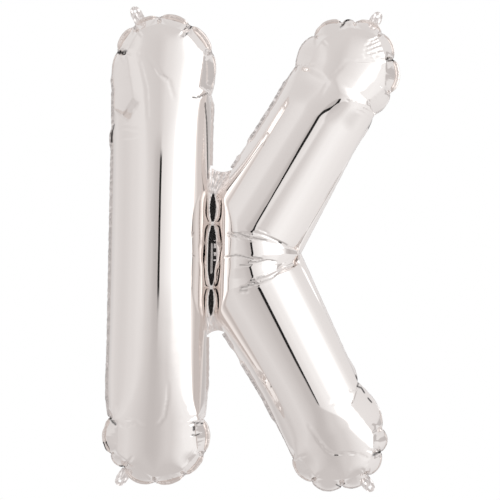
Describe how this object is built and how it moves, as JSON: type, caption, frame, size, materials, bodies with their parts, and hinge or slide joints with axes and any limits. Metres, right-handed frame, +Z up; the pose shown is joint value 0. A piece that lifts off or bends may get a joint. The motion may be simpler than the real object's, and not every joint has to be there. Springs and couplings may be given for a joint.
{
  "type": "letter foil balloon",
  "caption": "Tall inflated letter of mirror-silver foil: round tubes with puckered ends, a welded seam margin, hanging tabs and a filling sleeve.",
  "frame": {"origin": "middle of the letter in the plane of its seam, at the mount named air", "axes": "+Z up the letter, +X to the right as it is read, front panel faces -Y"},
  "size_m": [0.5127, 0.166, 0.8259],
  "materials": {
    "silver_film": "mirror-bright metallised film with fine creases",
    "welded_film": "bright metallised film, slightly dulled and crimped by the weld"
  },
  "bodies": {
    "root": {"front_panel": "silver_film", "back_panel": "silver_film", "seam_flange": "welded_film", "web_weld_upper": "welded_film", "web_weld_middle": "welded_film", "web_weld_lower": "welded_film", "hanging_tab_stem_head": "welded_film", "hanging_tab_stem_foot": "welded_film", "hanging_tab_upper_head": "welded_film", "hanging_tab_lower_foot": "welded_film", "filling_sleeve": "welded_film"}
  },
  "joints": []
}
